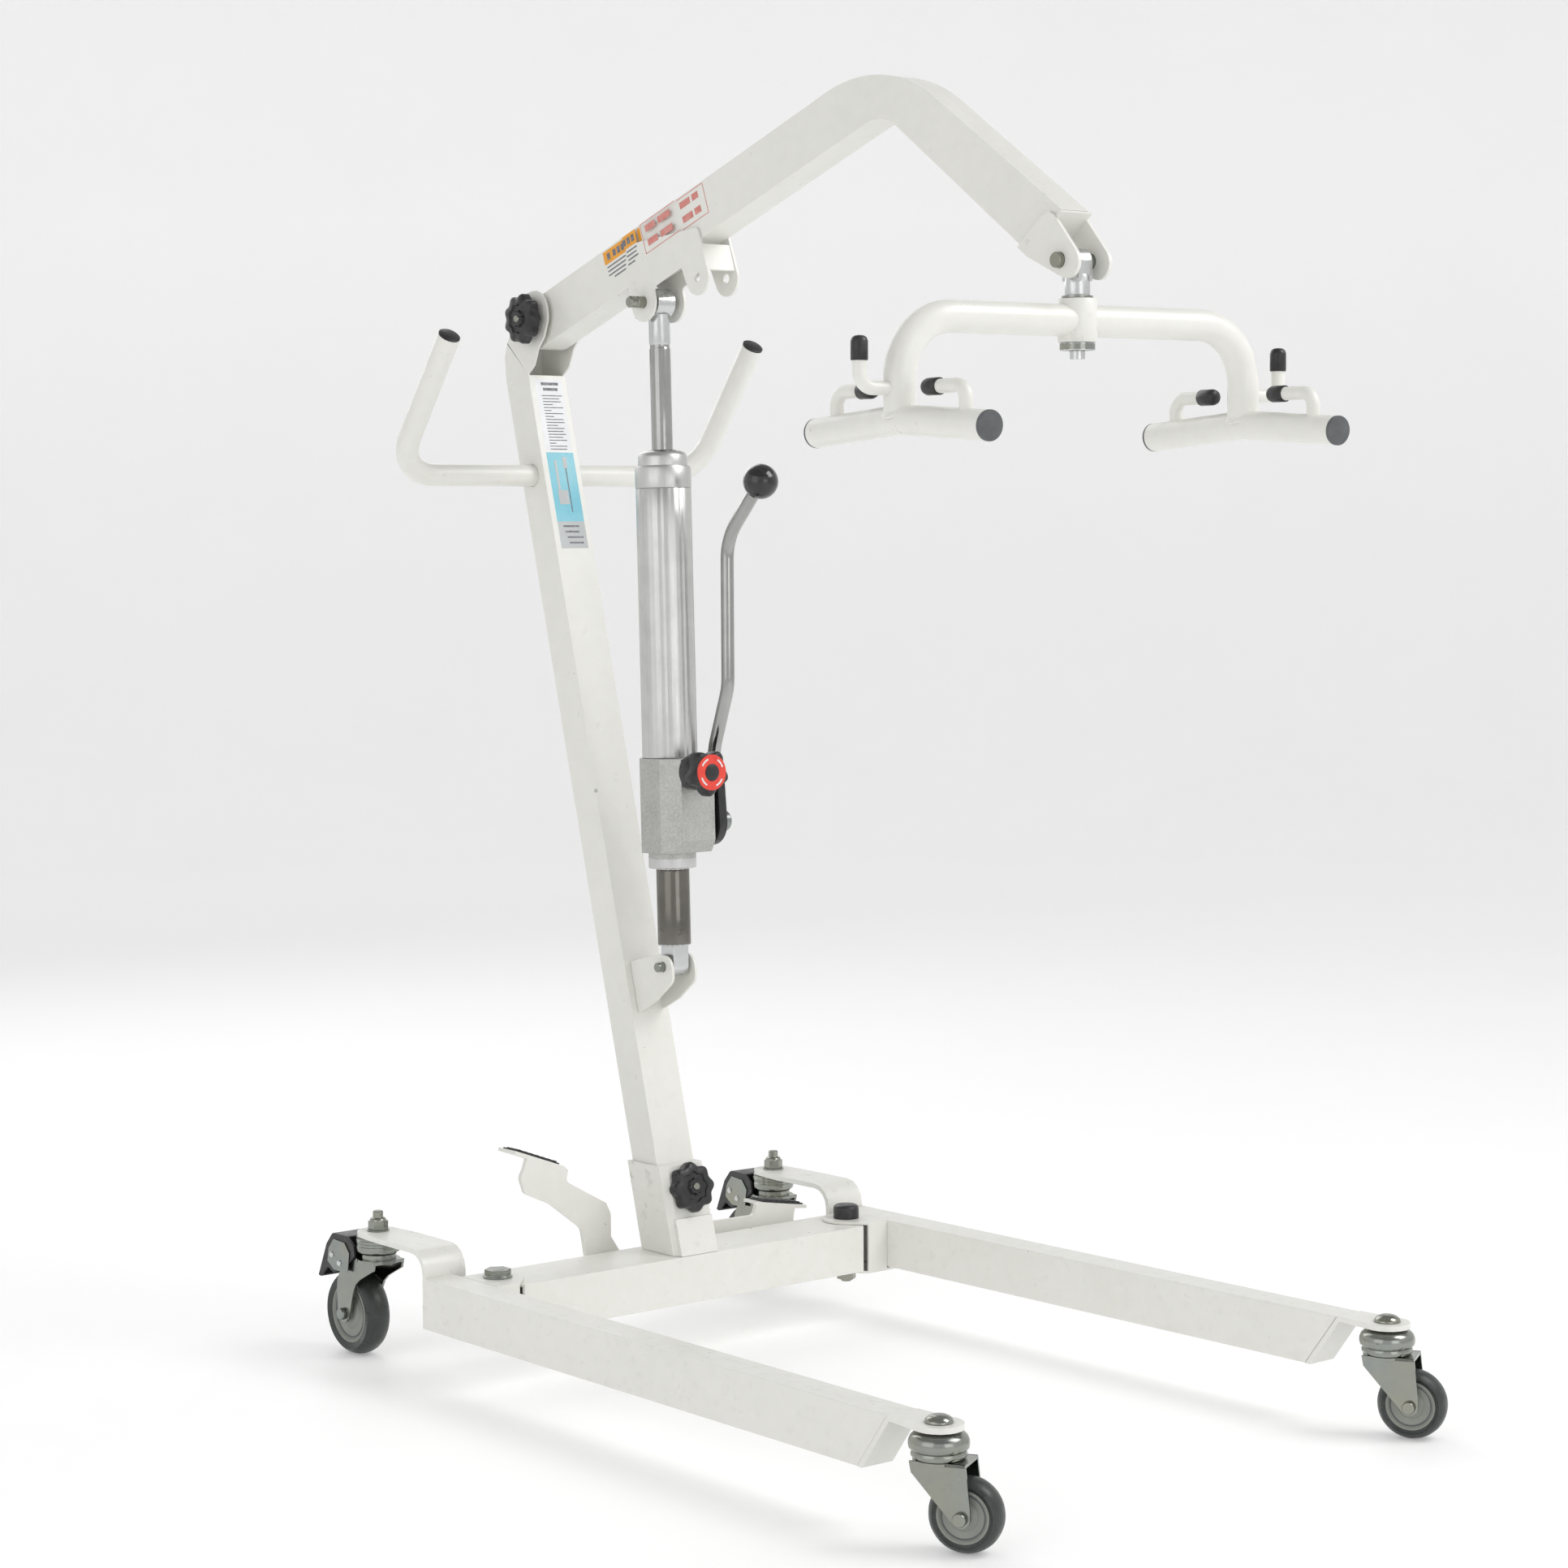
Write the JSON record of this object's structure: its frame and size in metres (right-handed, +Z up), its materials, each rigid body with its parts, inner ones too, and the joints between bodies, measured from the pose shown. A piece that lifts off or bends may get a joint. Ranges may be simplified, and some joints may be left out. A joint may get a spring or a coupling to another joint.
{
  "type": "patient lift hoist",
  "caption": "Wheeled floor hoist with a leaning mast, a pumped lifting boom, opening legs, braked casters and a swivelling sling cradle.",
  "frame": {"origin": "middle of the bounding box on the floor plane", "axes": "+X towards the leg fronts, +Y towards the left leg, +Z up"},
  "size_m": [1.1903, 0.73, 1.4802],
  "materials": {
    "white_paint": "semi-gloss powder coat",
    "zinc": "bright zinc plate",
    "rod_chrome": "polished",
    "pump_aluminium": "satin extruded and cast",
    "sleeve_steel": "dark polished",
    "black_plastic": "moulded",
    "grey_tyre": "soft polyurethane",
    "hub_plastic": "moulded",
    "black_brake": "moulded"
  },
  "bodies": {
    "base": {"crossbeam": "white_paint", "mast_socket": "white_paint", "right_pivot_bolt": "zinc", "left_pivot_bolt": "zinc", "rocker_bolt": "zinc"},
    "socket_knob": {"socket_knob": "black_plastic"},
    "rocker": {"rocker_plate": "white_paint"},
    "left_tie_rod": {"left_tie_rod": "zinc"},
    "right_tie_rod": {"right_tie_rod": "zinc"},
    "mast": {"mast_tube": "white_paint", "handle_bar": "white_paint", "lower_pump_bracket": "white_paint", "lower_pump_pin": "zinc"},
    "boom": {"boom_tube": "white_paint", "boom_pump_bracket": "white_paint", "boom_clevis": "white_paint", "upper_pump_pin": "zinc", "hanger_pin": "zinc"},
    "boom_knob": {"boom_knob": "black_plastic"},
    "pump_body": {"pump_cylinder": "pump_aluminium", "pump_block": "pump_aluminium", "pump_foot": "sleeve_steel"},
    "pump_rod": {"pump_rod": "rod_chrome"},
    "pump_lever": {"pump_lever": "rod_chrome", "lever_ball": "black_plastic"},
    "release_knob": {"release_knob": "black_plastic"},
    "hanger": {"hanger": "zinc"},
    "cradle": {"cradle_bar": "white_paint", "right_cross_tube": "white_paint", "left_cross_tube": "white_paint"},
    "right_leg": {"right_leg_tube": "white_paint", "right_leg_bracket": "white_paint", "right_rear_plate": "white_paint", "right_front_plate": "white_paint", "right_front_stem": "zinc", "right_rear_stem": "zinc"},
    "right_front_caster": {"right_front_fork": "zinc", "right_front_axle": "zinc"},
    "right_front_wheel": {"right_front_hub": "hub_plastic", "right_front_tyre": "grey_tyre"},
    "right_rear_caster": {"right_rear_fork": "zinc", "right_rear_axle": "zinc"},
    "right_rear_wheel": {"right_rear_hub": "hub_plastic", "right_rear_tyre": "grey_tyre"},
    "right_rear_brake": {"right_rear_brake": "black_brake"},
    "left_leg": {"left_leg_tube": "white_paint", "left_leg_bracket": "white_paint", "left_rear_plate": "white_paint", "left_front_plate": "white_paint", "left_front_stem": "zinc", "left_rear_stem": "zinc"},
    "left_front_caster": {"left_front_fork": "zinc", "left_front_axle": "zinc"},
    "left_front_wheel": {"left_front_hub": "hub_plastic", "left_front_tyre": "grey_tyre"},
    "left_rear_caster": {"left_rear_fork": "zinc", "left_rear_axle": "zinc"},
    "left_rear_wheel": {"left_rear_hub": "hub_plastic", "left_rear_tyre": "grey_tyre"},
    "left_rear_brake": {"left_rear_brake": "black_brake"}
  },
  "joints": [
    {"name": "socket_knob_turn", "type": "hinge", "parent": "base", "child": "socket_knob", "pos_m": [-0.27468, 0, 0.199], "axis": [0.9679, 0, 0.2512], "continuous": true},
    {"name": "base_pedal_tilt", "type": "hinge", "parent": "base", "child": "rocker", "pos_m": [-0.3557, 0, 0.092], "axis": [1, 0, 0], "range_deg": [0, 30.4]},
    {"name": "left_leg_spread", "type": "hinge", "parent": "base", "child": "left_leg", "pos_m": [-0.2927, 0.266, 0.092], "axis": [0, 0, 1], "range_deg": [0, 12.2]},
    {"name": "right_leg_spread", "type": "hinge", "parent": "base", "child": "right_leg", "pos_m": [-0.2927, -0.266, 0.092], "axis": [0, 0, -1], "range_deg": [0, 12.2]},
    {"name": "left_tie_slide", "type": "slide", "parent": "base", "child": "left_tie_rod", "axis": [0, -1, 0], "range_m": [0, 0.0112]},
    {"name": "right_tie_slide", "type": "slide", "parent": "base", "child": "right_tie_rod", "axis": [0, 1, 0], "range_m": [0, 0.0112]},
    {"name": "mast_lift_out", "type": "slide", "parent": "base", "child": "mast", "axis": [-0.2512, 0, 0.9679], "range_m": [0, 0.09]},
    {"name": "boom_lift", "type": "hinge", "parent": "mast", "child": "boom", "pos_m": [-0.5359, 0, 1.2456], "axis": [0, -1, 0], "range_deg": [-38, 28]},
    {"name": "boom_knob_turn", "type": "hinge", "parent": "mast", "child": "boom_knob", "pos_m": [-0.5359, 0, 1.2456], "axis": [0, 1, 0], "continuous": true},
    {"name": "pump_swing", "type": "hinge", "parent": "mast", "child": "pump_body", "pos_m": [-0.2957, 0, 0.465], "axis": [0, -1, 0], "range_deg": [-2, 2]},
    {"name": "pump_stroke", "type": "slide", "parent": "pump_body", "child": "pump_rod", "axis": [-0.0272, 0, 0.9996], "range_m": [-0.138, 0.102]},
    {"name": "pump_lever_stroke", "type": "hinge", "parent": "pump_body", "child": "pump_lever", "pos_m": [-0.2777, 0.04, 0.637], "axis": [0, 1, 0], "range_deg": [-5, 50]},
    {"name": "release_knob_turn", "type": "hinge", "parent": "pump_body", "child": "release_knob", "pos_m": [-0.25579, -0.003, 0.70017], "axis": [0.9996, 0, 0.0272], "range_deg": [0, 120]},
    {"name": "hanger_swing", "type": "hinge", "parent": "boom", "child": "hanger", "pos_m": [0.3883, 0, 1.261], "axis": [0, 1, 0], "range_deg": [-50, 50]},
    {"name": "cradle_swivel", "type": "hinge", "parent": "hanger", "child": "cradle", "pos_m": [0.3899, 0, 1.1995], "axis": [0, 0, 1], "continuous": true},
    {"name": "right_front_swivel", "type": "hinge", "parent": "right_leg", "child": "right_front_caster", "pos_m": [0.53428, -0.32813, 0.1], "axis": [0, 0, 1], "continuous": true},
    {"name": "right_front_roll", "type": "hinge", "parent": "right_front_caster", "child": "right_front_wheel", "pos_m": [0.55853, -0.31413, 0.038], "axis": [-0.5, 0.866, 0], "continuous": true},
    {"name": "right_rear_swivel", "type": "hinge", "parent": "right_leg", "child": "right_rear_caster", "pos_m": [-0.48329, -0.30521, 0.1], "axis": [0, 0, 1], "continuous": true},
    {"name": "right_rear_roll", "type": "hinge", "parent": "right_rear_caster", "child": "right_rear_wheel", "pos_m": [-0.52929, -0.30521, 0.051], "axis": [0, -1, 0], "continuous": true},
    {"name": "right_brake_press", "type": "hinge", "parent": "right_rear_caster", "child": "right_rear_brake", "pos_m": [-0.5288, -0.30521, 0.113], "axis": [0, -1, 0], "range_deg": [0, 6]},
    {"name": "left_front_swivel", "type": "hinge", "parent": "left_leg", "child": "left_front_caster", "pos_m": [0.53428, 0.32813, 0.1], "axis": [0, 0, 1], "continuous": true},
    {"name": "left_front_roll", "type": "hinge", "parent": "left_front_caster", "child": "left_front_wheel", "pos_m": [0.55853, 0.34213, 0.038], "axis": [-0.5, 0.866, 0], "continuous": true},
    {"name": "left_rear_swivel", "type": "hinge", "parent": "left_leg", "child": "left_rear_caster", "pos_m": [-0.48329, 0.30521, 0.1], "axis": [0, 0, 1], "continuous": true},
    {"name": "left_rear_roll", "type": "hinge", "parent": "left_rear_caster", "child": "left_rear_wheel", "pos_m": [-0.52918, 0.30842, 0.051], "axis": [-0.0698, -0.9976, 0], "continuous": true},
    {"name": "left_brake_press", "type": "hinge", "parent": "left_rear_caster", "child": "left_rear_brake", "pos_m": [-0.52868, 0.30838, 0.113], "axis": [-0.0698, -0.9976, 0], "range_deg": [0, 6]}
  ],
  "couplings": [
    {"joint": "left_leg_spread", "follows": "base_pedal_tilt", "ratio": 0.3865},
    {"joint": "right_leg_spread", "follows": "base_pedal_tilt", "ratio": 0.3865},
    {"joint": "left_tie_slide", "follows": "base_pedal_tilt", "m_per_rad": 0.01977},
    {"joint": "right_tie_slide", "follows": "base_pedal_tilt", "m_per_rad": 0.01977},
    {"joint": "pump_swing", "follows": "boom_lift", "ratio": -0.02},
    {"joint": "pump_stroke", "follows": "boom_lift", "m_per_rad": 0.205}
  ]
}
